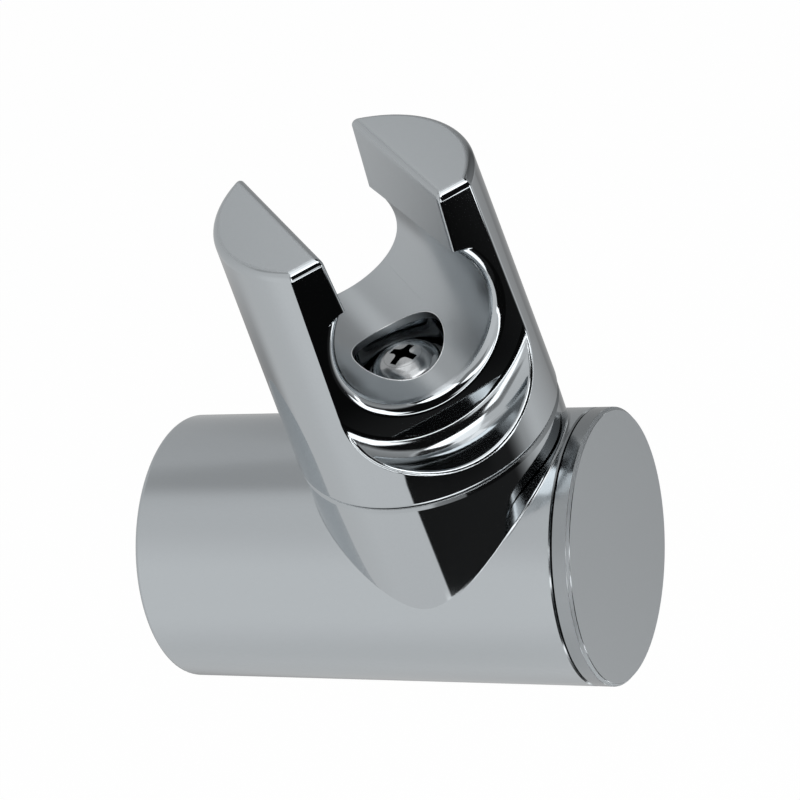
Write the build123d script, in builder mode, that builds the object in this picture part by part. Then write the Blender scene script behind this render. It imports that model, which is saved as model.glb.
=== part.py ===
from build123d import *
import math
import os

# Hand shower holder for wall mounting.
# The origin is the centre of the wall face. The body stands out of the wall along -Y,
# its neck points along +Z, and the fork that takes the shower's hose nut turns on the neck.
# All sizes are in millimetres.

# Body casting
body_radius = 19.0
body_length = 62.6
body_wall = 3.5
back_wall = 5.0
wall_edge_round = 0.8
mouth_edge_break = 0.2

# Fixing holes in the back wall
wall_hole_spacing = 19.0
wall_hole_radius = 3.25
wall_hole_break = 0.4

# Neck, cast in one with the body
neck_step = 0.85
neck_front_land = 0.65
neck_rise = 4.4
neck_wall = 3.5
neck_web = 5.9
neck_edge_chamfer = 0.45
neck_blend = 0.4

# Spigot that centres the fork on the neck
spigot_radius = 9.0
spigot_height = 1.6
spigot_end_gap = 0.3
spigot_chamfer = 0.3
running_clearance = 0.05

# Slide ring between the neck and the fork
ring_thickness = 0.4
ring_inset = 0.6

# Fork
fork_overhang = 0.15
fork_taper = 1.05
fork_floor = 5.4
prong_rise = 16.15
swivel_angle = 45.0

# Tapered seat for the hose nut and the slot for the hose
seat_mouth_radius = 10.75
seat_small_radius = 9.1
seat_lead_in = 1.75
seat_head_clearance = 0.18
slot_lip = 0.95
slot_draft = 2.8

# Flat front face of the fork and the cove that ends it
facet_cut = 6.7
facet_lower_land = 2.7
cove_width = 2.7
cove_depth = 3.2

# Edge rounding of the fork
prong_top_round = 1.1
mouth_end_round = 0.8
fork_edge_round = 0.5

# Swivel screw, M5 with a low pan head and a cross recess
screw_radius = 2.5
screw_head_radius = 4.75
screw_head_height = 2.7
screw_head_side = 0.7
screw_tip_chamfer = 0.5
screw_tip_stand = 1.0
screw_hole_clearance = 0.25
screw_access_clearance = 0.57
recess_width = 4.6
recess_wing = 1.0
recess_corner = 0.7
recess_depth = 1.9
recess_end_width = 2.4
recess_end_wing = 0.8
recess_end_corner = 0.35
recess_turn = 25.0

# Washer, disc springs and bush under the screw head
washer_radius = 5.7
washer_thickness = 1.0
washer_bore_clearance = 0.2
washer_edge_break = 0.15
spring_radius = 5.6
spring_thickness = 0.5
spring_rise = 0.3
bush_wall = 1.05
bush_flange_radius = 5.7
bush_flange = 0.5
bush_end_gap = 0.2
press_gap = 0.02

# Nut and washer inside the body
nut_washer_radius = 5.0
nut_washer_thickness = 1.0
nut_flats = 8.0
nut_height = 5.0
nut_hex_height = 3.5
nut_collar_radius = 3.75
nut_corner_angle = 30.0
thread_gap = 0.05
insert_wall = 0.75
insert_thickness = 0.9
insert_lip = 0.3

# End cap and its sealing ring
cap_thickness = 2.3
cap_shadow_gap = 0.35
cap_shadow_depth = 0.9
cap_edge_bevel = 0.45
cap_spigot_clearance = 0.1
cap_spigot_length = 5.0
cap_spigot_wall = 3.2
cap_spigot_lead = 0.5
seal_section = 1.6
seal_squeeze = 0.2
seal_gap = 0.03
seal_groove_width = 2.0
seal_groove_shoulder = 1.2

# Places worked out from the sizes above
cavity_radius = body_radius - body_wall
neck_radius = body_radius - neck_step
neck_distance = body_length - neck_front_land - neck_radius
neck_height = body_radius + neck_rise
web_under = neck_height - neck_web
spigot_top = neck_height + spigot_height
fork_base = neck_height + ring_thickness
fork_base_radius = neck_radius + fork_overhang
fork_top_radius = fork_base_radius - fork_taper
recess_top = spigot_top + spigot_end_gap
floor_top = fork_base + fork_floor
spring_seat = floor_top + bush_flange
spring_height = spring_thickness + spring_rise
springs_top = spring_seat + 2 * spring_height
head_seat = springs_top + washer_thickness
head_top = head_seat + screw_head_height
facet_distance = fork_base_radius - facet_cut
mouth_rim_radius = seat_mouth_radius + seat_lead_in
mouth_start = facet_distance - seat_lead_in
seat_taper = (seat_mouth_radius - seat_small_radius) / (mouth_start + fork_base_radius)
seat_middle_radius = seat_small_radius + seat_taper * fork_base_radius
seat_front_radius = seat_mouth_radius + seat_taper * seat_lead_in
seat_height = head_top + seat_head_clearance + seat_middle_radius
fork_top = seat_height + prong_rise
slot_slope = math.tan(math.radians(slot_draft))
slot_top_half = seat_small_radius - slot_lip
slot_axis_half = slot_top_half - slot_slope * prong_rise
cove_floor_radius = mouth_rim_radius + facet_lower_land
cove_wall_radius = cove_floor_radius + cove_width
nut_washer_under = web_under - nut_washer_thickness
nut_under = nut_washer_under - nut_height
screw_tip = nut_under - screw_tip_stand
bush_radius = screw_radius + running_clearance + bush_wall
access_radius = washer_radius + screw_access_clearance
insert_radius = screw_radius + thread_gap + insert_wall
up = Vector(0, 0, 1)
neck_foot = Vector(0, -neck_distance, 0)
neck_axis = Axis(neck_foot, up)
swivel = math.radians(swivel_angle)
mouth_direction = Vector(-math.cos(swivel), -math.sin(swivel), 0)
side_direction = mouth_direction.cross(up)
seat_centre = neck_foot + up * seat_height
seat_axis = Axis(seat_centre, mouth_direction)

# Section through the neck's axis: x runs sideways from the axis, y runs up
neck_section = Plane(origin=neck_foot, x_dir=side_direction, z_dir=side_direction.cross(up))
# Section through the seat's axis: x runs out of the wide mouth, y runs up
seat_section = Plane(origin=seat_centre, x_dir=mouth_direction, z_dir=side_direction)
# Section across the seat's axis: x runs sideways, y runs up
slot_section = Plane(origin=seat_centre, x_dir=-side_direction, z_dir=mouth_direction)
# Plan of the fork at the seat's axis: x runs out of the wide mouth
fork_plan = Plane(origin=seat_centre, x_dir=mouth_direction, z_dir=up)
# Section through the body's axis: x runs out of the wall, y runs up
body_section = Plane(origin=(0, 0, 0), x_dir=(0, -1, 0), z_dir=(-1, 0, 0))


def across_neck(height):
    """Plane across the neck's axis at a height above the body's axis."""
    return Plane(origin=neck_foot + up * height, x_dir=side_direction, z_dir=up)


# Body: round bar casting with its neck, bored out from the front
with BuildPart() as body:
    with BuildSketch(Plane.XZ):
        Circle(body_radius)
    extrude(amount=body_length)
    fillet(body.edges().sort_by(Axis.Y)[-1], radius=wall_edge_round)
    with BuildSketch(across_neck(0)):
        Circle(neck_radius)
    extrude(amount=neck_height)
    chamfer(body.edges().sort_by(Axis.Z)[-1], length=neck_edge_chamfer)
    fillet(body.edges().filter_by(GeomType.BSPLINE), radius=neck_blend)
    with BuildSketch(Plane.XZ.offset(back_wall)):
        Circle(cavity_radius)
    extrude(amount=body_length - back_wall, mode=Mode.SUBTRACT)
    front_rims = body.edges().filter_by(GeomType.CIRCLE).group_by(Axis.Y)[0]
    chamfer(front_rims, length=mouth_edge_break)
    with BuildSketch(across_neck(0)):
        Circle(neck_radius - neck_wall)
    extrude(amount=web_under, mode=Mode.SUBTRACT)
    with BuildSketch(across_neck(neck_height)):
        Circle(spigot_radius)
    extrude(amount=spigot_height)
    chamfer(body.edges().sort_by(Axis.Z)[-1], length=spigot_chamfer)
    with BuildSketch(across_neck(web_under)):
        Circle(screw_radius + screw_hole_clearance)
    extrude(amount=spigot_top - web_under, mode=Mode.SUBTRACT)
    with BuildSketch(Plane.XZ):
        with GridLocations(wall_hole_spacing, 0, 2, 1):
            Circle(wall_hole_radius)
    extrude(amount=back_wall, mode=Mode.SUBTRACT)
    hole_rims = body.edges(Select.LAST).filter_by(GeomType.CIRCLE)
    chamfer(hole_rims, length=wall_hole_break)
body.part.label = "body"


# Slide ring: thin plastic disc that shows as a dark line between neck and fork
with BuildPart() as slide_ring:
    with BuildSketch(across_neck(neck_height)):
        Circle(neck_radius - ring_inset)
        Circle(spigot_radius + running_clearance, mode=Mode.SUBTRACT)
    extrude(amount=ring_thickness)
slide_ring.part.label = "slide_ring"


# Cutter for the rounded mouth of the seat, which ends level with the slot's foot,
# where the drafted wall of the slot meets the wide end of the seat
wall_reach = slot_slope * slot_axis_half
foot_reach = wall_reach**2 + (1 + slot_slope**2) * (seat_front_radius**2 - slot_axis_half**2)
slot_foot_rise = (math.sqrt(foot_reach) - wall_reach) / (1 + slot_slope**2)
slot_foot = Plane(origin=seat_centre + up * slot_foot_rise, z_dir=up)
with BuildPart() as mouth_cutter:
    with BuildSketch(seat_section):
        with BuildLine():
            Polyline(
                (facet_distance, mouth_rim_radius),
                (facet_distance, 0),
                (mouth_start, 0),
                (mouth_start, seat_mouth_radius),
            )
            CenterArc((mouth_start, mouth_rim_radius), seat_lead_in, -90, 90)
        make_face()
    revolve(axis=seat_axis)
    split(bisect_by=slot_foot, keep=Keep.BOTTOM)
    cut_face = mouth_cutter.faces().sort_by(Axis.Z)[-1]
    fillet(cut_face.edges().filter_by(GeomType.BSPLINE), radius=mouth_end_round)


# Fork: tapered head that turns about the neck's axis
with BuildPart() as fork:
    with BuildSketch(neck_section):
        with BuildLine():
            Polyline(
                (0, fork_base),
                (fork_base_radius, fork_base),
                (fork_top_radius, fork_top),
                (0, fork_top),
                close=True,
            )
        make_face()
    revolve(axis=neck_axis)
    # Recess for the spigot, hole for the bush and access to the screw, all on the neck's axis
    with BuildSketch(across_neck(fork_base)):
        Circle(spigot_radius + running_clearance)
    extrude(amount=recess_top - fork_base, mode=Mode.SUBTRACT)
    with BuildSketch(across_neck(fork_base)):
        Circle(bush_radius + press_gap)
    extrude(amount=fork_floor, mode=Mode.SUBTRACT)
    with BuildSketch(across_neck(floor_top)):
        Circle(access_radius)
    extrude(amount=seat_height - floor_top, mode=Mode.SUBTRACT)
    # Flat front face and the cove that ends it, turned about the seat's axis
    cove_top = facet_distance + cove_depth
    cove_end = fork_base_radius + cove_depth
    with BuildSketch(seat_section):
        with BuildLine():
            Line((facet_distance, 0), (facet_distance, cove_floor_radius))
            EllipticalCenterArc(
                (cove_top, cove_floor_radius),
                cove_depth,
                cove_wall_radius - cove_floor_radius,
                start_angle=90,
                arc_size=90,
            )
            Polyline(
                (cove_top, cove_wall_radius),
                (cove_end, cove_wall_radius),
                (cove_end, 0),
                (facet_distance, 0),
            )
        make_face()
    revolve(axis=seat_axis, mode=Mode.SUBTRACT)
    with BuildSketch(fork_plan):
        with Locations((facet_distance + fork_base_radius, 0)):
            Rectangle(2 * fork_base_radius, 4 * fork_base_radius)
    extrude(amount=fork_top - seat_height, mode=Mode.SUBTRACT)
    # Tapered seat and its rounded mouth
    with BuildSketch(seat_section):
        Polygon(
            (facet_distance, 0),
            (facet_distance, seat_front_radius),
            (-fork_base_radius, seat_small_radius),
            (-fork_base_radius, 0),
            align=None,
        )
    revolve(axis=seat_axis, mode=Mode.SUBTRACT)
    add(mouth_cutter.part, mode=Mode.SUBTRACT)
    # Slot for the hose, open at the top, with draft on its walls
    with BuildSketch(slot_section):
        Polygon(
            (slot_axis_half, 0),
            (slot_top_half, prong_rise),
            (-slot_top_half, prong_rise),
            (-slot_axis_half, 0),
            align=None,
        )
    extrude(amount=2 * fork_base_radius, both=True, mode=Mode.SUBTRACT)
    # A small rounding along the outline and the slot, then a wide one round the prongs' tops
    top_edges = fork.faces().group_by(Axis.Z)[-1].edges()
    outer_face = fork.faces().filter_by(GeomType.CONE).sort_by(SortBy.AREA)[-1]
    outline = outer_face.edges().filter_by(GeomType.LINE, reverse=True)
    flat_face_lines = fork.faces().filter_by(seat_axis).edges().filter_by(GeomType.LINE)
    slot_edges = flat_face_lines.group_by(Axis.Z)[1]
    fillet((set(outline) | set(slot_edges)) - set(top_edges), radius=fork_edge_round)
    prong_tops = fork.faces().filter_by(GeomType.PLANE).group_by(Axis.Z)[-1]
    fillet(prong_tops.edges(), radius=prong_top_round)
fork.part.label = "fork"


# Swivel screw: its head and cross recess show at the bottom of the seat
with BuildPart() as swivel_screw:
    with BuildSketch(neck_section):
        with BuildLine():
            Polyline(
                (0, head_top),
                (0, screw_tip),
                (screw_radius - screw_tip_chamfer, screw_tip),
                (screw_radius, screw_tip + screw_tip_chamfer),
                (screw_radius, head_seat),
                (screw_head_radius, head_seat),
                (screw_head_radius, head_seat + screw_head_side),
            )
            EllipticalCenterArc(
                (0, head_seat + screw_head_side),
                screw_head_radius,
                screw_head_height - screw_head_side,
                start_angle=0,
                arc_size=90,
            )
        make_face()
    revolve(axis=neck_axis)
    recess_ends = (
        (head_top, recess_width, recess_wing, recess_corner),
        (head_top - recess_depth, recess_end_width, recess_end_wing, recess_end_corner),
    )
    for height, width, wing, corner in recess_ends:
        with BuildSketch(across_neck(height)) as cross:
            Rectangle(width, wing, rotation=recess_turn)
            Rectangle(wing, width, rotation=recess_turn)
            fillet(cross.vertices().sort_by_distance((0, 0, 0))[:4], radius=corner)
    loft(mode=Mode.SUBTRACT)
swivel_screw.part.label = "swivel_screw"


# Head washer: spreads the screw's load on the disc springs
with BuildPart() as head_washer:
    with BuildSketch(across_neck(springs_top)):
        Circle(washer_radius)
        Circle(screw_radius + washer_bore_clearance, mode=Mode.SUBTRACT)
    extrude(amount=washer_thickness)
    chamfer(head_washer.edges().group_by(Axis.Z)[-1].sort_by(SortBy.LENGTH)[-1], length=washer_edge_break)
head_washer.part.label = "head_washer"


def disc_spring(label, seat, coned_up):
    """Conical ring that stands on its outer edge, or on its inner edge when turned over."""
    outer_rise = 0 if coned_up else spring_rise
    inner_rise = spring_rise - outer_rise
    bore = screw_radius + washer_bore_clearance
    with BuildPart() as spring:
        with BuildSketch(neck_section):
            with BuildLine():
                Polyline(
                    (bore, seat + inner_rise),
                    (spring_radius, seat + outer_rise),
                    (spring_radius, seat + outer_rise + spring_thickness),
                    (bore, seat + inner_rise + spring_thickness),
                    close=True,
                )
            make_face()
        revolve(axis=neck_axis)
    spring.part.label = label
    return spring


# Disc springs: laid against each other, they keep the swivel tight
lower_disc_spring = disc_spring("lower_disc_spring", spring_seat, coned_up=True)
upper_disc_spring = disc_spring("upper_disc_spring", spring_seat + spring_height, coned_up=False)


# Pivot bush: plastic sleeve with a flange, pressed into the fork's floor
with BuildPart() as pivot_bush:
    with BuildSketch(across_neck(recess_top + bush_end_gap)):
        Circle(bush_radius)
    extrude(amount=floor_top - recess_top - bush_end_gap)
    with BuildSketch(across_neck(floor_top)):
        Circle(bush_flange_radius)
    extrude(amount=bush_flange)
    with BuildSketch(across_neck(recess_top)):
        Circle(screw_radius + running_clearance)
    extrude(amount=spring_seat - recess_top, mode=Mode.SUBTRACT)
pivot_bush.part.label = "pivot_bush"


# Nut washer: bears on the underside of the neck's web
with BuildPart() as nut_washer:
    with BuildSketch(across_neck(nut_washer_under)):
        Circle(nut_washer_radius)
        Circle(screw_radius + washer_bore_clearance, mode=Mode.SUBTRACT)
    extrude(amount=nut_washer_thickness)
nut_washer.part.label = "nut_washer"


# Lock nut: hexagon with a round collar that holds the plastic insert
insert_under = nut_under + insert_lip
nut_hex_under = nut_washer_under - nut_hex_height
corner_drop = nut_flats / 2 * math.tan(math.radians(nut_corner_angle))
with BuildPart() as lock_nut:
    with BuildSketch(across_neck(nut_washer_under)):
        RegularPolygon(nut_flats / 2, 6, major_radius=False)
    extrude(amount=-nut_hex_height)
    with BuildSketch(neck_section):
        for face_height, drop in ((nut_washer_under, -corner_drop), (nut_hex_under, corner_drop)):
            with BuildLine():
                Polyline(
                    (nut_flats / 2, face_height),
                    (nut_flats, face_height),
                    (nut_flats, face_height + drop),
                    close=True,
                )
            make_face()
    revolve(axis=neck_axis, mode=Mode.SUBTRACT)
    with BuildSketch(across_neck(nut_under)):
        Circle(nut_collar_radius)
    extrude(amount=nut_height - nut_hex_height)
    with BuildSketch(across_neck(nut_under)):
        Circle(screw_radius + thread_gap)
    extrude(amount=nut_height, mode=Mode.SUBTRACT)
    with BuildSketch(across_neck(insert_under)):
        Circle(insert_radius + press_gap)
    extrude(amount=insert_thickness, mode=Mode.SUBTRACT)
lock_nut.part.label = "lock_nut"


# Nut insert: plastic ring that grips the screw's thread
with BuildPart() as nut_insert:
    with BuildSketch(across_neck(insert_under)):
        Circle(insert_radius)
        Circle(screw_radius + press_gap, mode=Mode.SUBTRACT)
    extrude(amount=insert_thickness)
nut_insert.part.label = "nut_insert"


# End cap: cup with a disc front that stands off the body by a shadow gap
spigot_outer = cavity_radius - cap_spigot_clearance
spigot_inner = spigot_outer - cap_spigot_wall
spigot_end = body_length - cap_spigot_length
seal_height = seal_section - seal_squeeze
groove_front = body_length - seal_groove_shoulder
groove_back = groove_front - seal_groove_width
groove_floor = cavity_radius - seal_height - 2 * seal_gap
disc_back = body_length + cap_shadow_gap
disc_front = disc_back + cap_thickness
body_axis = Axis((0, 0, 0), (0, 1, 0))
with BuildPart() as end_cap:
    with BuildSketch(body_section):
        with BuildLine():
            Polyline(
                (disc_front, 0),
                (disc_front, body_radius - cap_edge_bevel),
                (disc_front - cap_edge_bevel, body_radius),
                (disc_back, body_radius),
                (disc_back, body_radius - cap_shadow_depth),
                (body_length, body_radius - cap_shadow_depth),
                (body_length, spigot_outer),
                (groove_front, spigot_outer),
                (groove_front, groove_floor),
                (groove_back, groove_floor),
                (groove_back, spigot_outer),
                (spigot_end + cap_spigot_lead, spigot_outer),
                (spigot_end, spigot_outer - cap_spigot_lead),
                (spigot_end, spigot_inner),
                (body_length, spigot_inner),
                (body_length, 0),
                close=True,
            )
        make_face()
    revolve(axis=body_axis)
end_cap.part.label = "end_cap"


# Cap seal: rubber ring, squeezed flatter than round in its groove
with BuildPart() as cap_seal:
    with BuildSketch(body_section):
        with Locations(((groove_front + groove_back) / 2, groove_floor + seal_gap + seal_height / 2)):
            SlotOverall(seal_section + seal_squeeze, seal_height)
    revolve(axis=body_axis)
cap_seal.part.label = "cap_seal"

pieces = (
    body,
    slide_ring,
    fork,
    swivel_screw,
    head_washer,
    upper_disc_spring,
    lower_disc_spring,
    pivot_bush,
    nut_washer,
    lock_nut,
    nut_insert,
    end_cap,
    cap_seal,
)
os.makedirs("parts", exist_ok=True)
for piece in pieces:
    export_step(piece.part, f"parts/{piece.part.label}.step")
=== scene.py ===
"""Looks of the hand shower holder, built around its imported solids."""

import logging
import math
from abc import ABC, abstractmethod
from dataclasses import dataclass, field, replace
from enum import Enum

import bmesh
import bpy
import numpy as np
from mathutils import Matrix, Vector


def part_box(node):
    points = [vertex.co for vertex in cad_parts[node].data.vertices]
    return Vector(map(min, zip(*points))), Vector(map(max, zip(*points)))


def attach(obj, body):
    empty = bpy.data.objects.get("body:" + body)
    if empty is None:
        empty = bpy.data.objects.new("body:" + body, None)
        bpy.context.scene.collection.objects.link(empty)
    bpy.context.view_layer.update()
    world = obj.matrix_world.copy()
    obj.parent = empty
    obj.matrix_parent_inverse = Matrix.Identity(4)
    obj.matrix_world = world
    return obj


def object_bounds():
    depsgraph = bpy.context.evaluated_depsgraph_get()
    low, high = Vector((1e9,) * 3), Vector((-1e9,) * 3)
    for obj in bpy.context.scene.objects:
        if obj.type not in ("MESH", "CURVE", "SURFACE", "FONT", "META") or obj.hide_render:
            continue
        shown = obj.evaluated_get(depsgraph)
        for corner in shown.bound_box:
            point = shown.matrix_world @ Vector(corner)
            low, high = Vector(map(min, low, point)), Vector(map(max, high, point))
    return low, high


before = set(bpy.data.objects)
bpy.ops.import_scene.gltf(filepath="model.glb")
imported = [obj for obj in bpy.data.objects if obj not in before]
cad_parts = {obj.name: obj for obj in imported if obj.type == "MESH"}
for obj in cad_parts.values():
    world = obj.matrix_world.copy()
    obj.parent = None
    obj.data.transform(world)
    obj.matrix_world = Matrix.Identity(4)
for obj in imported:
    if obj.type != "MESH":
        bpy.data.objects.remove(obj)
CAD_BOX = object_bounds()

LOG = logging.getLogger("shower_holder")

Colour = tuple[float, float, float]
Point = tuple[float, float, float]
Socket = bpy.types.NodeSocket
Tree = bpy.types.NodeTree

MM = 0.001
SHARP = 0.1 * MM
UP: Point = (0.0, 0.0, 1.0)
DOWN: Point = (0.0, 0.0, -1.0)
INTO_WALL: Point = (0.0, 1.0, 0.0)
OUT_OF_WALL: Point = (0.0, -1.0, 0.0)
RIPPLE_DETAIL = 2.0
GRAIN_DETAIL = 3.0


class Node(str, Enum):
    """Names of the solids that the frame carries."""

    BODY = "body"
    SLIDE_RING = "slide_ring"
    FORK = "fork"
    SCREW = "swivel_screw"
    HEAD_WASHER = "head_washer"
    UPPER_SPRING = "upper_disc_spring"
    LOWER_SPRING = "lower_disc_spring"
    BUSH = "pivot_bush"
    NUT_WASHER = "nut_washer"
    NUT = "lock_nut"
    INSERT = "nut_insert"
    CAP = "end_cap"
    SEAL = "cap_seal"


class Part(str, Enum):
    """The two bodies that move against each other."""

    BRACKET = "bracket"
    SWIVEL_FORK = "swivel_fork"


class Slot(str, Enum):
    """The record's material slots, passed along with the added pieces but not read by them."""

    CHROME = "chrome_plate"


def lowest(node: Node) -> Vector:
    """Gives a solid's lowest corner at rest, in millimetres."""
    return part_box(node.value)[0] / MM


def highest(node: Node) -> Vector:
    """Gives a solid's highest corner at rest, in millimetres."""
    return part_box(node.value)[1] / MM


NECK_DISTANCE = -(lowest(Node.SLIDE_RING).y + highest(Node.SLIDE_RING).y) / 2


class Way(str, Enum):
    """Whether a shader group takes a socket in or gives it out."""

    IN = "INPUT"
    OUT = "OUTPUT"


class Kind(str, Enum):
    """What a shader group's socket carries."""

    NUMBER = "NodeSocketFloat"
    PLACE = "NodeSocketVector"


class Sum(str, Enum):
    """The sums that the shader nodes work out."""

    ADD = "ADD"
    SUBTRACT = "SUBTRACT"
    MULTIPLY = "MULTIPLY"
    MULTIPLY_ADD = "MULTIPLY_ADD"
    MAXIMUM = "MAXIMUM"
    SCALE = "SCALE"
    DOT = "DOT_PRODUCT"
    LENGTH = "LENGTH"


class Amount(str, Enum):
    """What a zone adds to a finish."""

    SATIN = "satin"
    # A zone's dark amount is painted shade, a darkening of its colour
    DARK = "dark"


def wire(tree: Tree, value: Socket | float, socket: Socket) -> None:
    """Feeds a socket from another socket, or sets it to a number."""
    if isinstance(value, (int, float)):
        socket.default_value = value
    else:
        tree.links.new(value, socket)


def maths(tree: Tree, operation: Sum, *values: Socket | float) -> Socket:
    """Adds a Math node.

    Args:
        tree: the nodes that it joins.
        operation: the sum that it works out.
        values: its inputs, sockets or numbers.

    Returns:
        The result's socket.
    """
    node = tree.nodes.new("ShaderNodeMath")
    node.operation = operation.value
    for value, socket in zip(values, node.inputs):
        wire(tree, value, socket)
    return node.outputs[0]


def vector_maths(tree: Tree, operation: Sum, *values: Socket, scale: Socket | None = None) -> Socket:
    """Adds a Vector Math node.

    Args:
        tree: the nodes that it joins.
        operation: the sum that it works out.
        values: its vector inputs.
        scale: what a SCALE sum multiplies by.

    Returns:
        The result's socket, a number for DOT and LENGTH.
    """
    node = tree.nodes.new("ShaderNodeVectorMath")
    node.operation = operation.value
    for value, socket in zip(values, node.inputs):
        tree.links.new(value, socket)
    if scale is not None:
        tree.links.new(scale, node.inputs["Scale"])
    return node.outputs["Value" if operation in (Sum.DOT, Sum.LENGTH) else "Vector"]


def smooth_step(tree: Tree, value: Socket, low: Socket | float, high: Socket | float) -> Socket:
    """Adds a smooth ramp from 0 at the low value to 1 at the high one.

    Args:
        tree: the nodes that it joins.
        value: what is ramped.
        low: where the ramp starts.
        high: where it ends.

    Returns:
        The ramp's socket.
    """
    node = tree.nodes.new("ShaderNodeMapRange")
    node.interpolation_type = "SMOOTHSTEP"
    wire(tree, value, node.inputs["Value"])
    wire(tree, low, node.inputs["From Min"])
    wire(tree, high, node.inputs["From Max"])
    return node.outputs["Result"]


def noise(tree: Tree, scale: Socket, detail: float) -> Socket:
    """Adds noise on the piece's own coordinates.

    Args:
        tree: the nodes that it joins.
        scale: how many features a metre holds.
        detail: how many finer layers it has.

    Returns:
        The noise's socket, about 0 to 1.
    """
    place = tree.nodes.new("ShaderNodeTexCoord")
    node = tree.nodes.new("ShaderNodeTexNoise")
    node.inputs["Detail"].default_value = detail
    tree.links.new(place.outputs["Object"], node.inputs["Vector"])
    tree.links.new(scale, node.inputs["Scale"])
    return node.outputs["Fac"]


def new_group(name: str, places: tuple[str, ...], numbers: tuple[str, ...], results: tuple[str, ...]) -> Tree:
    """Starts a shader group with its named sockets.

    Args:
        name: the group's name.
        places: the inputs that carry a place or a direction.
        numbers: the inputs that carry a number.
        results: the outputs, all numbers.

    Returns:
        The group, still without its nodes.
    """
    group = bpy.data.node_groups.new(name, "ShaderNodeTree")
    sockets = (
        (places, Way.IN, Kind.PLACE),
        (numbers, Way.IN, Kind.NUMBER),
        (results, Way.OUT, Kind.NUMBER),
    )
    for names, way, kind in sockets:
        for label in names:
            group.interface.new_socket(name=label, in_out=way.value, socket_type=kind.value)
    return group


def place_group(tree: Tree, group: Tree, values: dict[str, float | Point]) -> bpy.types.ShaderNodeGroup:
    """Places a shared group among a material's nodes, with values of its own.

    Args:
        tree: the material's nodes.
        group: the shared group.
        values: its inputs by name.

    Returns:
        The group's node.
    """
    node = tree.nodes.new("ShaderNodeGroup")
    node.node_tree = group
    for name, value in values.items():
        node.inputs[name].default_value = value
    return node


def plating_group() -> Tree:
    """Builds the shared effect of a worked surface: a faint long ripple, haze and fine grain.

    Formula: roughness = base + haze x ripple noise; height = ripple noise + grain x grain noise;
    shade = 1 - shade depth x grain noise.

    Returns:
        The group, with Roughness, Height and Shade outputs.
    """
    numbers = ("Base roughness", "Haze", "Ripple size", "Grain size", "Grain", "Shade depth")
    group = new_group("plating", (), numbers, ("Roughness", "Height", "Shade"))
    given = group.nodes.new("NodeGroupInput").outputs
    result = group.nodes.new("NodeGroupOutput").inputs
    ripple = noise(group, given["Ripple size"], RIPPLE_DETAIL)
    grain = noise(group, given["Grain size"], GRAIN_DETAIL)
    rough = maths(group, Sum.MULTIPLY_ADD, ripple, given["Haze"], given["Base roughness"])
    height = maths(group, Sum.MULTIPLY_ADD, grain, given["Grain"], ripple)
    shade = maths(group, Sum.SUBTRACT, 1.0, maths(group, Sum.MULTIPLY, grain, given["Shade depth"]))
    for value, name in ((rough, "Roughness"), (height, "Height"), (shade, "Shade")):
        group.links.new(value, result[name])
    return group


def near_axis_group() -> Tree:
    """Builds the shared mask of what lies near an axis.

    Formula: offset = place - point; distance = length of (offset - direction x (offset . direction));
    mask = 1 inside the radius, falling smoothly to 0 over the edge.

    Returns:
        The group, with a Mask output.
    """
    group = new_group("near_axis", ("Point", "Direction"), ("Radius", "Edge"), ("Mask",))
    given = group.nodes.new("NodeGroupInput").outputs
    place = group.nodes.new("ShaderNodeTexCoord").outputs["Object"]
    offset = vector_maths(group, Sum.SUBTRACT, place, given["Point"])
    along = vector_maths(group, Sum.DOT, offset, given["Direction"])
    foot = vector_maths(group, Sum.SCALE, given["Direction"], scale=along)
    distance = vector_maths(group, Sum.LENGTH, vector_maths(group, Sum.SUBTRACT, offset, foot))
    far_edge = maths(group, Sum.ADD, given["Radius"], given["Edge"])
    mask = maths(group, Sum.SUBTRACT, 1.0, smooth_step(group, distance, given["Radius"], far_edge))
    group.links.new(mask, group.nodes.new("NodeGroupOutput").inputs["Mask"])
    return group


def beyond_plane_group() -> Tree:
    """Builds the shared mask of what lies beyond a plane.

    Formula: height = (place - point) . normal; mask = 0 under the plane, rising smoothly to 1 over the edge.

    Returns:
        The group, with a Mask output.
    """
    group = new_group("beyond_plane", ("Point", "Normal"), ("Edge",), ("Mask",))
    given = group.nodes.new("NodeGroupInput").outputs
    place = group.nodes.new("ShaderNodeTexCoord").outputs["Object"]
    offset = vector_maths(group, Sum.SUBTRACT, place, given["Point"])
    height = vector_maths(group, Sum.DOT, offset, given["Normal"])
    mask = smooth_step(group, height, 0.0, given["Edge"])
    group.links.new(mask, group.nodes.new("NodeGroupOutput").inputs["Mask"])
    return group


@dataclass
class Effects:
    """The shared shader groups, built once, and the materials made with them by name."""

    plating: Tree
    near_axis: Tree
    beyond_plane: Tree
    made: dict[str, bpy.types.Material] = field(default_factory=dict)


@dataclass(frozen=True)
class NearAxis:
    """What lies within a radius of an axis, in metres."""

    point: Point
    direction: Point
    radius: float
    edge: float = SHARP

    def mask(self, tree: Tree, effects: Effects) -> Socket:
        """Adds the mask to a material's nodes and returns its socket."""
        values = {"Point": self.point, "Direction": self.direction, "Radius": self.radius, "Edge": self.edge}
        return place_group(tree, effects.near_axis, values).outputs["Mask"]


@dataclass(frozen=True)
class BeyondPlane:
    """What lies beyond a plane, on the side that its normal points to, in metres."""

    point: Point
    normal: Point
    edge: float = SHARP

    def mask(self, tree: Tree, effects: Effects) -> Socket:
        """Adds the mask to a material's nodes and returns its socket."""
        values = {"Point": self.point, "Normal": self.normal, "Edge": self.edge}
        return place_group(tree, effects.beyond_plane, values).outputs["Mask"]


Limit = NearAxis | BeyondPlane


@dataclass(frozen=True)
class Zone:
    """A part of a surface that is satin or has painted shade: how much rougher it is, and how much its colour
    is darkened as painted shade, where all limits hold.
    """

    limits: tuple[Limit, ...]
    satin: float = 0.0
    dark: float = 0.0


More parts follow.
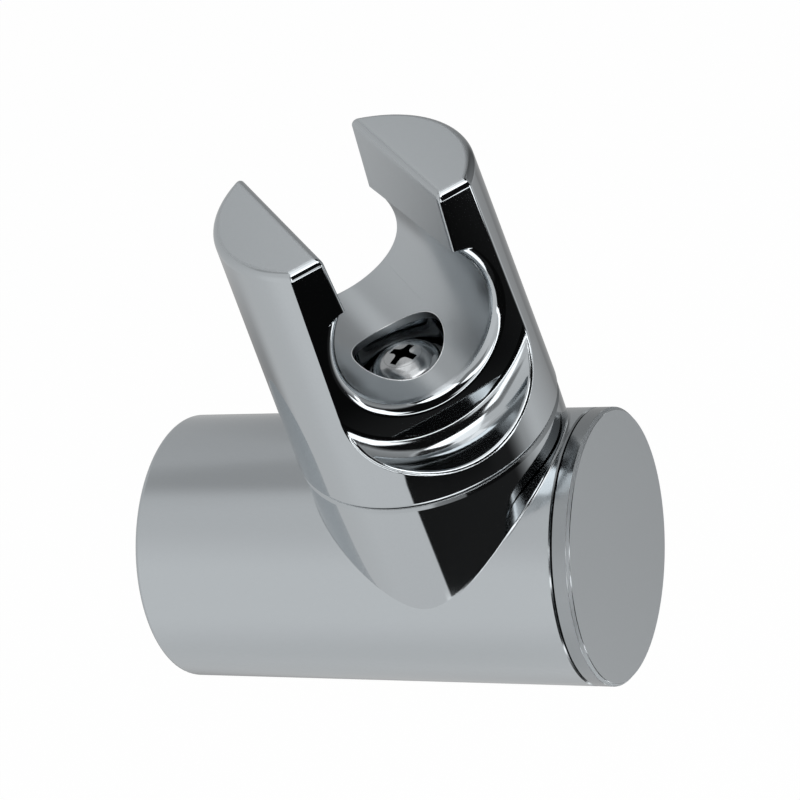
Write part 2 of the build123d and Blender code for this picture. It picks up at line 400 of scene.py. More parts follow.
@dataclass(frozen=True)
class Finish:
    """A procedural finish whose colour, gloss and relief vary over the piece, with its zones.

    The ripple and grain sizes are features a metre, and the relief is the ripple's height in metres.
    """

    name: str
    colour: Colour
    metallic: float = 1.0
    roughness: float = 0.3
    haze: float = 0.1
    ripple_size: float = 300.0
    grain_size: float = 3500.0
    grain: float = 0.4
    shade_depth: float = 0.2
    relief: float = 0.01 * MM
    zones: tuple[Zone, ...] = ()

    def zoned(self, amount: Amount, tree: Tree, effects: Effects) -> Socket | float:
        """Joins what the zones add, the most of any zone at each place.

        Args:
            amount: which of the zones' values is joined.
            tree: the material's nodes.
            effects: the shared groups.

        Returns:
            The joined amount's socket, or 0 without a zone.
        """
        joined: Socket | float = 0.0
        for zone in self.zones:
            added: Socket | float = getattr(zone, amount.value)
            for limit in zone.limits:
                added = maths(tree, Sum.MULTIPLY, limit.mask(tree, effects), added)
            joined = maths(tree, Sum.MAXIMUM, added, joined)
        return joined

    def build(self, effects: Effects) -> bpy.types.Material:
        """Makes the material, or gives the one that is made already.

        Args:
            effects: the shared groups.

        Returns:
            The finished material.
        """
        if self.name in effects.made:
            return effects.made[self.name]
        material = effects.made[self.name] = bpy.data.materials.new(self.name)
        material.use_nodes = True
        tree = material.node_tree
        surface = tree.nodes["Principled BSDF"].inputs
        surface["Metallic"].default_value = self.metallic
        given = {
            "Base roughness": self.roughness,
            "Haze": self.haze,
            "Ripple size": self.ripple_size,
            "Grain size": self.grain_size,
            "Grain": self.grain,
            "Shade depth": self.shade_depth,
        }
        worked = place_group(tree, effects.plating, given).outputs
        tint = tree.nodes.new("ShaderNodeMix")
        tint.data_type = "RGBA"
        tint.inputs["A"].default_value = (0.0, 0.0, 0.0, 1.0)
        tint.inputs["B"].default_value = (*self.colour, 1.0)
        # The zones' painted shade darkens the colour here, on top of the grain's random tone
        shade = maths(tree, Sum.SUBTRACT, worked["Shade"], self.zoned(Amount.DARK, tree, effects))
        tree.links.new(shade, tint.inputs["Factor"])
        tree.links.new(tint.outputs["Result"], surface["Base Color"])
        rough = maths(tree, Sum.ADD, worked["Roughness"], self.zoned(Amount.SATIN, tree, effects))
        tree.links.new(rough, surface["Roughness"])
        bump = tree.nodes.new("ShaderNodeBump")
        bump.inputs["Strength"].default_value = 1.0
        bump.inputs["Distance"].default_value = self.relief
        tree.links.new(worked["Height"], bump.inputs["Height"])
        tree.links.new(bump.outputs["Normal"], surface["Normal"])
        return material


CHROME = Finish(
    name="chrome_plate",
    colour=(0.52, 0.553, 0.575),
    roughness=0.035,
    haze=0.02,
    ripple_size=60.0,
    grain_size=2500.0,
    grain=0.12,
    shade_depth=0.04,
    relief=0.0012 * MM,
)
# Painted highlight: the hole's worked edge is chrome in a far brighter colour than the chrome round it, so
# that it shows as a bright line
WORKED_EDGE_PAINTED_HIGHLIGHT = replace(
    CHROME,
    name="worked_edge_painted_highlight",
    colour=(0.85, 0.87, 0.88),
    roughness=0.3,
    haze=0.05,
    grain=0.2,
    relief=0.002 * MM,
)
SCREW_STEEL = Finish(
    name="screw_steel",
    colour=(0.46, 0.475, 0.485),
    roughness=0.12,
    haze=0.08,
    shade_depth=0.15,
    relief=0.006 * MM,
)
WASHER_STEEL = Finish(name="washer_steel", colour=(0.2, 0.2, 0.2))
SPRING_STEEL = Finish(name="spring_steel", colour=(0.2, 0.2, 0.205), roughness=0.28)
BLACK_PLASTIC = Finish(
    name="black_plastic",
    colour=(0.012, 0.012, 0.012),
    metallic=0.0,
    roughness=0.4,
    ripple_size=200.0,
    grain_size=4000.0,
)
INSERT_NYLON = replace(
    BLACK_PLASTIC, name="insert_nylon", colour=(0.72, 0.72, 0.66), roughness=0.45, shade_depth=0.1
)
SEAL_RUBBER = replace(
    BLACK_PLASTIC, name="seal_rubber", colour=(0.02, 0.02, 0.02), roughness=0.6, grain_size=5000.0
)

# Roughness that the satin zones add to polished chrome or steel
SEAT_SATIN = 0.24
SLOT_SATIN = 0.34
COVE_SATIN = 0.05
BODY_SATIN = 0.12
CAP_SATIN = 0.26
EDGE_SATIN = 0.5
RIM_SATIN = 0.12
RECESS_SATIN = 0.1

# Painted shade: share of its colour that a zone loses, on the cap's rim, in the joints' gaps and in the
# screw's cross recess
RIM_PAINTED_SHADE = 0.3
GAP_PAINTED_SHADE = 0.9
RECESS_PAINTED_SHADE = 0.95


@dataclass(frozen=True)
class PhotoCamera:
    """The camera of the photograph: where it stands and aims in metres, its roll and its lens."""

    place: Point = (-0.24068, -0.18826, 0.23042)
    aim: Point = (0.00834, -0.0358, 0.01983)
    roll_degrees: float = -20.95
    lens_mm: float = 116.97
    sensor_mm: float = 36.0

    def build(self) -> bpy.types.Object:
        """Makes the camera and sets it as the scene's own.

        Returns:
            The camera object.
        """
        data = bpy.data.cameras.new("photo_camera")
        data.lens = self.lens_mm
        data.sensor_width = self.sensor_mm
        data.sensor_fit = "HORIZONTAL"
        camera = bpy.data.objects.new("photo_camera", data)
        bpy.context.scene.collection.objects.link(camera)
        place = Vector(self.place)
        look = (Vector(self.aim) - place).normalized()
        turn = look.to_track_quat("-Z", "Y").to_matrix().to_4x4()
        roll = Matrix.Rotation(math.radians(self.roll_degrees), 4, "Z")
        camera.matrix_world = Matrix.Translation(place) @ turn @ roll
        bpy.context.scene.camera = camera
        return camera


def around(centre: Point, azimuth: np.ndarray, elevation: np.ndarray, distance: float) -> np.ndarray:
    """Works out the places seen from a centre at given angles.

    Formula: x = sin(azimuth) cos(elevation), y = cos(azimuth) cos(elevation), z = sin(elevation),
    times the distance. Azimuth 0 looks at the wall, 90 towards +X and 180 out of the wall.

    Args:
        centre: where the angles are taken from.
        azimuth: angles about +Z in degrees.
        elevation: angles above the floor in degrees.
        distance: how far off the places lie, in metres.

    Returns:
        An array of points, one row each.
    """
    a, e = np.radians(azimuth), np.radians(elevation)
    unit = np.stack((np.sin(a) * np.cos(e), np.cos(a) * np.cos(e), np.sin(e)), axis=-1)
    return np.asarray(centre) + distance * unit


def mesh_from_grid(name: str, points: np.ndarray) -> bpy.types.Mesh:
    """Makes a mesh of quads from a grid of points, with a UV map over the grid.

    Args:
        name: the mesh's name.
        points: an array of rows x columns x 3.

    Returns:
        The mesh.
    """
    rows, columns, _ = points.shape
    index = np.arange(rows * columns).reshape(rows, columns)
    corners = (index[:-1, :-1], index[:-1, 1:], index[1:, 1:], index[1:, :-1])
    quads = np.stack(corners, axis=-1).reshape(-1, 4)
    mesh = bpy.data.meshes.new(name)
    mesh.from_pydata(points.reshape(-1, 3), [], quads)
    v, u = np.meshgrid(np.linspace(0, 1, rows), np.linspace(0, 1, columns), indexing="ij")
    uv = np.stack((u, v), axis=-1).reshape(-1, 2)[quads.reshape(-1)]
    mesh.uv_layers.new(name="grid").data.foreach_set("uv", uv.astype(np.float32).ravel())
    mesh.update()
    return mesh


@dataclass(frozen=True)
class Card:
    """A curved studio card that only shows as a reflection.

    It reaches over azimuths and elevations in degrees about the object, its tone runs evenly from the
    first azimuth to the last, and its sides and ends fade out over soft degrees. A card at a smaller
    distance, in metres, hides the ones behind it.
    """

    name: str
    azimuth: tuple[float, float]
    elevation: tuple[float, float]
    tones: tuple[float, float]
    soft_sides: tuple[float, float]
    soft_ends: tuple[float, float]
    distance: float
    steps: int = 24

    def cover(self, tree: Tree, across: Socket, upwards: Socket) -> Socket:
        """Adds how much the card hides: 1 in its middle, fading to 0 at its sides and ends.

        Args:
            tree: the material's nodes.
            across: the share of the way from the first azimuth to the last.
            upwards: the share of the way from the lower elevation to the upper.

        Returns:
            The cover's socket.
        """
        cover: Socket | float = 1.0
        for share, reach, soft in (
            (across, self.azimuth, self.soft_sides),
            (upwards, self.elevation, self.soft_ends),
        ):
            span = reach[1] - reach[0]
            rise = smooth_step(tree, share, 0.0, soft[0] / span)
            fall = smooth_step(tree, maths(tree, Sum.SUBTRACT, 1.0, share), 0.0, soft[1] / span)
            cover = maths(tree, Sum.MULTIPLY, maths(tree, Sum.MULTIPLY, rise, fall), cover)
        return cover

    def material(self) -> bpy.types.Material:
        """Makes the card's material: its glow where it covers, and clear round that.

        Returns:
            The material.
        """
        material = bpy.data.materials.new(self.name)
        material.use_nodes = True
        tree = material.node_tree
        tree.nodes.remove(tree.nodes["Principled BSDF"])
        glow = tree.nodes.new("ShaderNodeEmission")
        clear = tree.nodes.new("ShaderNodeBsdfTransparent")
        split = tree.nodes.new("ShaderNodeSeparateXYZ")
        tree.links.new(tree.nodes.new("ShaderNodeUVMap").outputs["UV"], split.inputs["Vector"])
        across, upwards = split.outputs["X"], split.outputs["Y"]
        first, last = self.tones
        tone = maths(tree, Sum.MULTIPLY_ADD, across, last - first, first)
        tree.links.new(tone, glow.inputs["Strength"])
        mix = tree.nodes.new("ShaderNodeMixShader")
        tree.links.new(self.cover(tree, across, upwards), mix.inputs["Fac"])
        tree.links.new(clear.outputs["BSDF"], mix.inputs[1])
        tree.links.new(glow.outputs["Emission"], mix.inputs[2])
        tree.links.new(mix.outputs["Shader"], tree.nodes["Material Output"].inputs["Surface"])
        return material

    def build(self, centre: Point) -> bpy.types.Object:
        """Makes the card, seen by reflections alone.

        Args:
            centre: the point that the card is curved about.

        Returns:
            The card's object.
        """
        elevation, azimuth = np.meshgrid(
            np.linspace(*self.elevation, self.steps), np.linspace(*self.azimuth, self.steps), indexing="ij"
        )
        mesh = mesh_from_grid(self.name, around(centre, azimuth, elevation, self.distance))
        mesh.materials.append(self.material())
        card = bpy.data.objects.new(self.name, mesh)
        bpy.context.scene.collection.objects.link(card)
        card.visible_camera = False
        card.visible_diffuse = False
        card.visible_transmission = False
        card.visible_shadow = False
        return card


@dataclass(frozen=True)
class Lamp:
    """A square area lamp: its angles in degrees, its distance and width in metres and its radiance."""

    name: str
    azimuth: float
    elevation: float
    distance: float
    width: float
    radiance: float

    def build(self, centre: Point) -> bpy.types.Object:
        """Makes the lamp, turned towards the centre. Power = radiance x pi x width squared.

        Args:
            centre: what the lamp points at.

        Returns:
            The lamp's object.
        """
        data = bpy.data.lights.new(self.name, "AREA")
        data.shape = "SQUARE"
        data.size = self.width
        data.energy = self.radiance * math.pi * self.width**2
        lamp = bpy.data.objects.new(self.name, data)
        bpy.context.scene.collection.objects.link(lamp)
        place = Vector(around(centre, np.array(self.azimuth), np.array(self.elevation), self.distance))
        turn = (Vector(centre) - place).to_track_quat("-Z", "Y").to_matrix().to_4x4()
        lamp.matrix_world = Matrix.Translation(place) @ turn
        lamp.visible_glossy = False
        return lamp


def seen_ray_mask(tree: Tree) -> Socket:
    """Adds nodes that give 1 for camera, glossy and transmitted rays and 0 for the rest.

    Args:
        tree: the world's or the material's own nodes.

    Returns:
        The socket with the mask.
    """
    path = tree.nodes.new("ShaderNodeLightPath").outputs
    mirrored = maths(tree, Sum.MAXIMUM, path["Is Glossy Ray"], path["Is Transmission Ray"])
    return maths(tree, Sum.MAXIMUM, path["Is Camera Ray"], mirrored)


# What the chrome mirrors: the tones behind it, at its sides, overhead, ahead and below
CARDS = (
    Card("wall_side_card", (-135.0, 0.0), (-88.0, 82.0), (0.74, 0.74), (8.0, 8.0), (5.0, 5.0), 0.33),
    Card("wall_glow_card", (-108.0, -22.0), (-54.0, 46.0), (0.86, 0.86), (26.0, 26.0), (34.0, 34.0), 0.328),
    Card("corner_card", (-36.0, 66.0), (-88.0, 82.0), (0.76, 0.52), (16.0, 10.0), (5.0, 5.0), 0.325),
    Card("corner_top_card", (-14.0, 64.0), (43.0, 76.0), (0.46, 0.46), (24.0, 12.0), (8.0, 8.0), 0.321),
    Card("corner_low_card", (-4.0, 62.0), (-62.0, -23.0), (0.34, 0.31), (22.0, 12.0), (16.0, 9.0), 0.322),
    Card("corner_high_card", (46.0, 80.0), (30.0, 64.0), (0.78, 0.78), (8.0, 6.0), (9.0, 6.0), 0.153),
    Card("right_side_card", (52.0, 110.0), (-88.0, 58.0), (0.5, 0.2), (8.0, 8.0), (5.0, 5.0), 0.32),
    Card("right_low_card", (96.0, 170.0), (-88.0, -8.0), (0.3, 0.88), (6.0, 6.0), (4.0, 4.0), 0.315),
    Card("overhead_side_card", (26.0, 80.0), (60.0, 89.0), (1.4, 1.4), (6.0, 6.0), (3.0, 3.0), 0.305),
    Card("overhead_high_card", (130.0, 240.0), (58.0, 89.0), (1.5, 1.5), (12.0, 8.0), (2.0, 2.0), 0.155),
    Card("overhead_front_card", (166.0, 236.0), (45.5, 66.0), (2.6, 2.6), (4.0, 4.0), (1.0, 10.0), 0.15),
    Card("left_dim_card", (226.0, 262.0), (14.0, 60.0), (0.2, 0.35), (4.0, 8.0), (6.0, 8.0), 0.152),
    Card("left_strip_card", (227.0, 242.0), (-5.0, 36.0), (2.2, 2.2), (2.0, 5.0), (3.0, 5.0), 0.148),
    Card("side_grey_card", (94.0, 180.0), (-9.0, 46.0), (0.06, 0.5), (12.0, 6.0), (3.0, 6.0), 0.147),
    Card("side_dark_card", (98.0, 172.0), (42.0, 72.0), (0.03, 0.03), (10.0, 4.0), (6.0, 4.0), 0.149),
    Card("room_card", (166.0, 218.0), (-9.0, 46.5), (0.006, 0.006), (14.0, 2.0), (2.0, 2.0), 0.145),
    Card("cove_dark_card", (213.0, 230.0), (5.0, 46.0), (0.006, 0.006), (2.0, 2.0), (4.0, 2.0), 0.146),
    Card("front_strip_card", (160.0, 275.0), (-12.5, -7.0), (2.3, 2.3), (3.0, 3.0), (1.0, 1.0), 0.14),
    Card("front_patch_card", (182.0, 203.0), (-20.0, 6.0), (2.3, 2.3), (4.0, 3.0), (3.0, 4.0), 0.139),
    Card("front_floor_card", (165.0, 275.0), (-88.0, -42.0), (2.0, 2.0), (3.0, 3.0), (2.0, 2.0), 0.152),
    Card("floor_dark_card", (172.0, 213.0), (-82.0, -46.0), (0.03, 0.03), (8.0, 3.0), (6.0, 3.0), 0.151),
    Card("low_dark_card", (150.0, 270.5), (-44.0, -12.0), (0.022, 0.015), (38.0, 1.5), (2.0, 1.0), 0.15),
    Card("low_black_card", (198.0, 270.5), (-33.0, -12.0), (0.004, 0.004), (10.0, 1.5), (4.0, 1.0), 0.145),
)
LAMPS = (
    Lamp("key_lamp", azimuth=-150.0, elevation=62.0, distance=0.9, width=0.5, radiance=2.4),
    Lamp("fill_lamp", azimuth=60.0, elevation=55.0, distance=0.9, width=0.4, radiance=0.9),
)


@dataclass(frozen=True)
class Studio:
    """Plain pale studio in metres: floor, white surroundings, lamps and the cards that the chrome mirrors."""

    centre: Point = (0.0, -0.04, 0.03)
    floor_drop: float = 0.4
    floor_reach: float = 6.0
    floor_tone: float = 0.92
    floor_glow: float = 0.93
    ambient: float = 0.9
    lamps: tuple[Lamp, ...] = LAMPS
    cards: tuple[Card, ...] = CARDS

    def build_world(self) -> None:
        """Makes the world: white where it is seen or mirrored, dimmer as plain light."""
        world = bpy.data.worlds.new("studio")
        world.use_nodes = True
        bpy.context.scene.world = world
        tree = world.node_tree
        strength = maths(tree, Sum.MULTIPLY_ADD, seen_ray_mask(tree), 1.0 - self.ambient, self.ambient)
        background = tree.nodes["Background"].inputs
        background["Color"].default_value = (1.0, 1.0, 1.0, 1.0)
        tree.links.new(strength, background["Strength"])

    def floor_material(self) -> bpy.types.Material:
        """Makes the floor's material: pale and matt, with a white glow where it is seen or mirrored.

        Returns:
            The material.
        """
        material = bpy.data.materials.new("pale_floor")
        material.use_nodes = True
        tree = material.node_tree
        tree.nodes.remove(tree.nodes["Principled BSDF"])
        matt = tree.nodes.new("ShaderNodeBsdfDiffuse")
        matt.inputs["Color"].default_value = (self.floor_tone, self.floor_tone, self.floor_tone, 1.0)
        glow = tree.nodes.new("ShaderNodeEmission")
        mix = tree.nodes.new("ShaderNodeMixShader")
        share = maths(tree, Sum.MULTIPLY, seen_ray_mask(tree), self.floor_glow)
        tree.links.new(share, mix.inputs["Fac"])
        tree.links.new(matt.outputs["BSDF"], mix.inputs[1])
        tree.links.new(glow.outputs["Emission"], mix.inputs[2])
        tree.links.new(mix.outputs["Shader"], tree.nodes["Material Output"].inputs["Surface"])
        return material

    def build_floor(self) -> bpy.types.Object:
        """Makes the floor: white where it is seen or mirrored, but for the object's shadow.

        Returns:
            The floor's object.
        """
        reach = np.linspace(-self.floor_reach, self.floor_reach, 2)
        y, x = np.meshgrid(reach, reach, indexing="ij")
        low = np.full_like(x, CAD_BOX[0][2] - self.floor_drop)
        mesh = mesh_from_grid("floor", np.stack((x, y, low), axis=-1))
        mesh.materials.append(self.floor_material())
        floor = bpy.data.objects.new("floor", mesh)
        bpy.context.scene.collection.objects.link(floor)
        return floor

    def build(self) -> None:
        """Makes the world, floor, lamps and cards, and sets the plain view transform."""
        self.build_world()
        self.build_floor()
        for part in self.lamps + self.cards:
            part.build(self.centre)
            LOG.info("studio: %s", part.name)
        bpy.context.scene.view_settings.view_transform = "Standard"


def closed_tube(name: str, points: np.ndarray, endless: bool) -> bpy.types.Mesh:
    """Makes a smooth closed mesh from rings of points.

    Args:
        name: the mesh's name.
        points: rings x points round a ring x 3.
        endless: whether the last ring joins the first, or else each end gets a flat cap.

    Returns:
        The mesh, with its faces outwards.
    """
    rings, round_points, _ = points.shape
    index = np.arange(rings * round_points).reshape(rings, round_points)
    start = index if endless else index[:-1]
    end = np.roll(index, -1, axis=0) if endless else index[1:]
    corners = (start, np.roll(start, -1, axis=1), np.roll(end, -1, axis=1), end)
    quads = np.stack(corners, axis=-1).reshape(-1, 4)
    caps = [] if endless else [index[0, ::-1].tolist(), index[-1].tolist()]
    mesh = bpy.data.meshes.new(name)
    mesh.from_pydata(points.reshape(-1, 3), [], quads.tolist() + caps)
    shape = bmesh.new()
    shape.from_mesh(mesh)
    bmesh.ops.recalc_face_normals(shape, faces=shape.faces)
    shape.to_mesh(mesh)
    shape.free()
    mesh.polygons.foreach_set("use_smooth", np.ones(len(mesh.polygons), dtype=bool))
    mesh.update()
    return mesh


@dataclass
class SubAssembly(ABC):
    """A group of the holder's pieces, finished with the shared effects."""

    effects: Effects

    @abstractmethod
    def build(self) -> None:
        """Dresses the group's solids and adds its fine pieces."""

    def dress(self, node: Node, finish: Finish) -> None:
        """Gives a solid of the frame its finish.

        Args:
            node: the solid.
            finish: what it is finished in.
        """
        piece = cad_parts[node.value]
        piece.data.materials.clear()
        piece.data.materials.append(finish.build(self.effects))
        LOG.info("%s dressed in %s", node.value, finish.name)

    def add_piece(
        self, name: str, points: np.ndarray, part: Part, slot: Slot, finish: Finish, endless: bool = False
    ) -> bpy.types.Object:
        """Adds a closed surface, given as rings of points, to a body.

        Args:
            name: the piece's name.
            points: rings x points round a ring x 3, in metres.
            part: the body that it rides on.
            slot: the record's slot that its finish belongs to; not used.
            finish: what it is finished in.
            endless: whether the last ring joins the first.

        Returns:
            The piece.
        """
        piece = bpy.data.objects.new(name, closed_tube(name, points, endless))
        bpy.context.scene.collection.objects.link(piece)
        piece.data.materials.append(finish.build(self.effects))
        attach(piece, part.value)
        LOG.info("%s: %d vertices", name, len(piece.data.vertices))
        return piece


@dataclass
class Bracket(SubAssembly):
    """The casting on the wall with its neck, its cap and the cap's seal. Sizes in millimetres."""

    body_radius: float = highest(Node.BODY).x
    body_front: float = -lowest(Node.BODY).y
    neck_top: float = lowest(Node.SLIDE_RING).z
    neck_edge: float = 0.14
    cap_front: float = -lowest(Node.CAP).y
    cap_bevel: float = 0.45
    cap_back: float = 62.95
    blend: float = 0.05
    gap_blend: float = 0.02

    def ahead_of(self, depth: float) -> BeyondPlane:
        """Gives what lies more than a depth in millimetres in front of the wall."""
        return BeyondPlane((0.0, -depth * MM, 0.0), OUT_OF_WALL, self.blend * MM)

    def behind(self, depth: float) -> BeyondPlane:
        """Gives what lies less than a depth in millimetres in front of the wall."""
        return BeyondPlane((0.0, -depth * MM, 0.0), INTO_WALL, self.blend * MM)

    def body_zones(self) -> tuple[Zone, ...]:
        """Gives the body's faint satin, the neck's bright edge and painted shade on the faces inside the two
        joints.

        Returns:
            The zones.
        """
        tube = NearAxis((0.0, 0.0, 0.0), INTO_WALL, (self.body_radius + self.blend) * MM)
        neck_edge = BeyondPlane((0.0, 0.0, (self.neck_top - self.neck_edge) * MM), UP, self.blend * MM)
        neck_top = BeyondPlane((0.0, 0.0, (self.neck_top - self.gap_blend) * MM), UP, self.gap_blend * MM)
        return (
            Zone((tube,), satin=BODY_SATIN),
            Zone((neck_edge,), satin=EDGE_SATIN),
            # Painted shade on the neck's top face under the fork and on the body's front face inside the
            # cap's gap
            Zone((neck_top,), dark=GAP_PAINTED_SHADE),
            Zone((self.ahead_of(self.body_front - self.blend),), dark=GAP_PAINTED_SHADE),
        )

    def cap_zones(self) -> tuple[Zone, ...]:
        """Gives the cap's satin face, its bright bevel, its rougher rim with painted shade and painted shade
        in the groove behind it.

        Returns:
            The zones.
        """
        face = self.cap_front - self.blend
        bevel = self.cap_front - self.cap_bevel
        return (
            Zone((self.ahead_of(face),), satin=CAP_SATIN),
            Zone((self.ahead_of(bevel), self.behind(face)), satin=EDGE_SATIN),
            # The rim's colour is darkened as painted shade, and the groove behind the cap is painted shade
            Zone((self.ahead_of(self.cap_back), self.behind(bevel)), satin=RIM_SATIN, dark=RIM_PAINTED_SHADE),
            Zone((self.behind(self.cap_back),), dark=GAP_PAINTED_SHADE),
        )

    def build(self) -> None:
        """Dresses the casting, the cap and the seal."""
        # The body's and the cap's chrome carry the painted shade of their zones
        self.dress(Node.BODY, replace(CHROME, name="chrome_plate_body_painted_shade", zones=self.body_zones()))
        self.dress(Node.CAP, replace(CHROME, name="chrome_plate_cap_painted_shade", zones=self.cap_zones()))
        self.dress(Node.SEAL, SEAL_RUBBER)


@dataclass
class SwivelFork(SubAssembly):
    """The fork that takes the hose nut, its seat and its bush. Sizes in millimetres."""

    neck_distance: float = NECK_DISTANCE
    fork_top: float = highest(Node.FORK).z
    fork_base: float = lowest(Node.FORK).z
    seat_depth: float = 16.15
    base_blend: float = 0.02
    mouth_turn_degrees: float = 225.0
    small_radius: float = 9.1
    mouth_radius: float = 10.75
    mouth_start: float = 9.85
    back_end: float = 18.3
    slot_top_half: float = 8.15
    slot_draft_degrees: float = 2.8
    slot_margin: float = 0.24
    seat_edge: float = 0.12
    face_distance: float = 11.6
    cove_radius: float = 17.9
    line_offset: float = 6.2
    line_start: float = -16.2
    line_end: float = -1.1
    line_width: float = 0.16
    line_height: float = 0.03
    line_end_share: float = 0.02
    line_rings: int = 160
    hole_radius: float = 6.27
    rim_width: float = 0.085
    rim_rings: int = 180
    section_points: int = 12

    @property
    def mouth_direction(self) -> np.ndarray:
        """Direction out of the seat's wide mouth."""
        turn = math.radians(self.mouth_turn_degrees)
        return np.array([math.cos(turn), math.sin(turn), 0.0])

    @property
    def side_direction(self) -> np.ndarray:
        """Level direction across the seat's axis."""
        return np.cross(self.mouth_direction, UP)

    @property
    def seat_centre(self) -> np.ndarray:
        """Where the seat's axis crosses the neck's axis, in metres."""
        return np.array([0.0, -self.neck_distance, self.fork_top - self.seat_depth]) * MM

    def near_seat_axis(self, radius: float) -> NearAxis:
        """Gives what lies within a radius in millimetres of the seat's axis."""
        return NearAxis(tuple(self.seat_centre), tuple(self.mouth_direction), radius * MM)

    def slot_limits(self) -> tuple[Limit, ...]:
        """Gives the limits of the slot's drafted walls, above the seat's axis.

        Formula: half width at the axis = half width at the top - tan(draft) x the axis's depth, and each
        wall's inward normal = up x sin(draft) - its side x cos(draft).

        Returns:
            The plane through the axis and one plane just behind each wall's face.
        """
        draft = math.radians(self.slot_draft_degrees)
        half_width = self.slot_top_half - math.tan(draft) * self.seat_depth + self.slot_margin
        walls = []
        for way in (1.0, -1.0):
            side = way * self.side_direction
            inward = math.sin(draft) * np.array(UP) - math.cos(draft) * side
            walls.append(BeyondPlane(tuple(self.seat_centre + side * half_width * MM), tuple(inward)))
        return (BeyondPlane(tuple(self.seat_centre), UP), *walls)

    def zones(self) -> tuple[Zone, ...]:
        """Gives the satin bore, slot, prong tops and cove, and painted shade on the underside at the joint.

        Returns:
            The zones.
        """
        tops = BeyondPlane((0.0, 0.0, (self.fork_top - self.seat_edge) * MM), UP)
        face = self.seat_centre + self.mouth_direction * self.face_distance * MM
        ahead_of_face = BeyondPlane(tuple(face), tuple(self.mouth_direction))
        low = (0.0, 0.0, (self.fork_base + self.base_blend) * MM)
        return (
            Zone((self.near_seat_axis(self.mouth_radius + self.seat_edge),), satin=SEAT_SATIN),
            Zone(self.slot_limits(), satin=SLOT_SATIN),
            Zone((tops,), satin=SLOT_SATIN),
            Zone((self.near_seat_axis(self.cove_radius), ahead_of_face), satin=COVE_SATIN),
            # Painted shade on the fork's underside, in the gap at the joint with the slide ring
            Zone((BeyondPlane(low, DOWN, self.base_blend * MM),), dark=GAP_PAINTED_SHADE),
        )

    def seat_radius(self, along: np.ndarray) -> np.ndarray:
        """Radius of the tapered seat at places along its axis, in millimetres."""
        taper = (self.mouth_radius - self.small_radius) / (self.mouth_start + self.back_end)
        return self.small_radius + taper * (along + self.back_end)

    def placed(self, along: np.ndarray, sideways: np.ndarray, height: np.ndarray) -> np.ndarray:
        """Turns places along, across and above the seat's axis in millimetres into points in metres."""
        axes = (self.mouth_direction, self.side_direction, np.array(UP))
        spread = np.broadcast_arrays(along, sideways, height)
        return self.seat_centre + sum(value[..., None] * axis for value, axis in zip(spread, axes)) * MM

    def hole_rim(self) -> np.ndarray:
        """Works out the fine worked edge round the screw's hole at the bottom of the seat.

        Formula: along = radius cos t, sideways = radius sin t, height = -sqrt(seat radius squared -
        sideways squared), with a small circle as its section.

        Returns:
            Rings x section points x 3, in metres.
        """
        turn = np.linspace(0, 2 * np.pi, self.rim_rings, endpoint=False)[:, None]
        section = np.linspace(0, 2 * np.pi, self.section_points, endpoint=False)[None, :]
        reach = self.hole_radius + self.rim_width * np.cos(section)
        along, sideways = self.hole_radius * np.cos(turn), self.hole_radius * np.sin(turn)
        height = -np.sqrt(self.seat_radius(along) ** 2 - sideways**2) + self.rim_width * np.sin(section)
        return self.placed(reach * np.cos(turn), reach * np.sin(turn), height)

    def seat_line(self, way: float) -> np.ndarray:
        """Works out the fine raised line that runs along the seat beside the screw's hole.

        Formula: it keeps a level distance from the seat's axis, at a height of
        -sqrt(radius squared - distance squared) on the cone, and its section is a low ellipse whose
        lower half is sunk in the wall. Its height fades out towards its ends.

        Args:
            way: 1 or -1, the side of the axis.

        Returns:
            Rings x section points x 3, in metres.
        """
        share = np.linspace(0, 1, self.line_rings)[:, None]
        along = self.line_start + (self.line_end - self.line_start) * share
        turn = np.linspace(0, 2 * np.pi, self.section_points, endpoint=False)[None, :]
        radius = self.seat_radius(along)
        angle = np.arcsin(self.line_offset / radius) + self.line_width / 2 * np.cos(turn) / radius
        fade = np.sqrt(np.clip(np.sin(np.pi * share), self.line_end_share, 1))
        reach = radius - self.line_height * fade * np.sin(turn)
        return self.placed(along, way * reach * np.sin(angle), -reach * np.cos(angle))

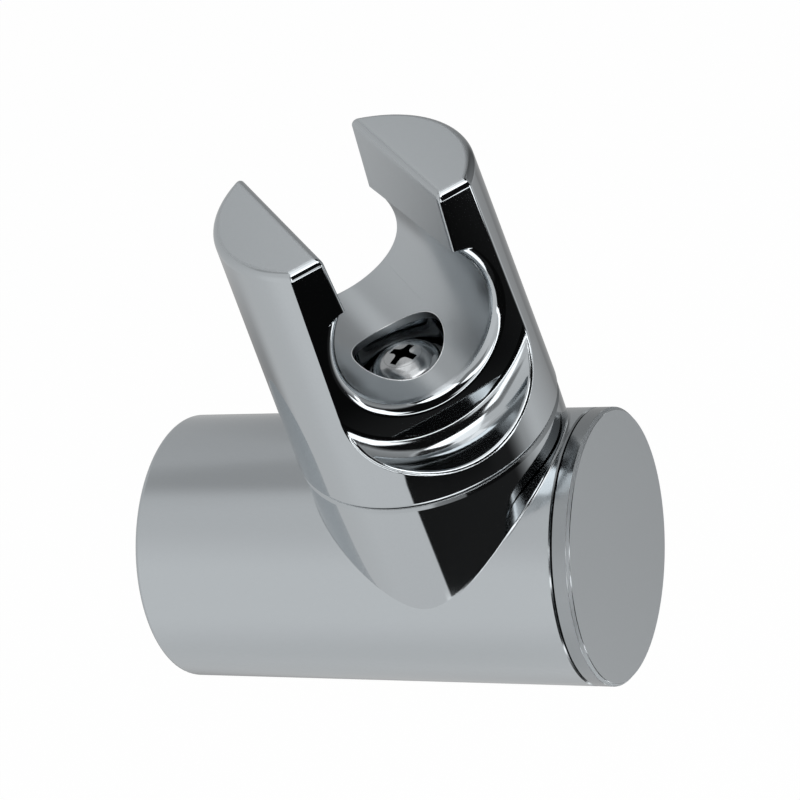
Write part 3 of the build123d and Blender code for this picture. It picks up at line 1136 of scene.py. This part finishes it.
    def build(self) -> None:
        """Dresses the fork and its bush and adds the fine lines and the hole's edge in the seat, whose
        brighter colour is a painted highlight.
        """
        finish = replace(CHROME, name="chrome_plate_fork_painted_shade", zones=self.zones())
        self.dress(Node.FORK, finish)
        self.dress(Node.BUSH, BLACK_PLASTIC)
        fork, chrome = Part.SWIVEL_FORK, Slot.CHROME
        for side, way in (("left", 1.0), ("right", -1.0)):
            self.add_piece(f"seat_line_{side}", self.seat_line(way), fork, chrome, finish)
        self.add_piece("seat_hole_rim", self.hole_rim(), fork, chrome, WORKED_EDGE_PAINTED_HIGHLIGHT, endless=True)


@dataclass
class SwivelHardware(SubAssembly):
    """Screw, washers, springs, slide ring and nut of the swivel. Sizes in millimetres."""

    neck_distance: float = NECK_DISTANCE
    head_top: float = highest(Node.SCREW).z
    recess_reach: float = 2.6
    recess_start: float = 0.256
    finishes: tuple[tuple[Node, Finish], ...] = (
        (Node.SLIDE_RING, BLACK_PLASTIC),
        (Node.HEAD_WASHER, WASHER_STEEL),
        (Node.UPPER_SPRING, SPRING_STEEL),
        (Node.LOWER_SPRING, SPRING_STEEL),
        (Node.NUT_WASHER, WASHER_STEEL),
        (Node.NUT, SCREW_STEEL),
        (Node.INSERT, INSERT_NYLON),
    )

    def build(self) -> None:
        """Dresses each small piece of the swivel, the screw with painted shade in its cross recess."""
        for node, finish in self.finishes:
            self.dress(node, finish)
        near = NearAxis((0.0, -self.neck_distance * MM, 0.0), UP, self.recess_reach * MM)
        below = BeyondPlane((0.0, 0.0, (self.head_top - self.recess_start) * MM), DOWN)
        # Painted shade in the cross recess: its colour is darkened almost to black
        recess = Zone((near, below), satin=RECESS_SATIN, dark=RECESS_PAINTED_SHADE)
        self.dress(Node.SCREW, replace(SCREW_STEEL, name="screw_steel_head_painted_shade", zones=(recess,)))


def main() -> None:
    """Dresses the frame, adds the fine pieces and sets up the camera and the studio."""
    logging.basicConfig(level=logging.INFO, format="%(name)s: %(message)s")
    effects = Effects(plating_group(), near_axis_group(), beyond_plane_group())
    for sub_assembly in (Bracket(effects), SwivelFork(effects), SwivelHardware(effects)):
        sub_assembly.build()
    PhotoCamera().build()
    Studio().build()


if __name__ == "__main__":
    main()
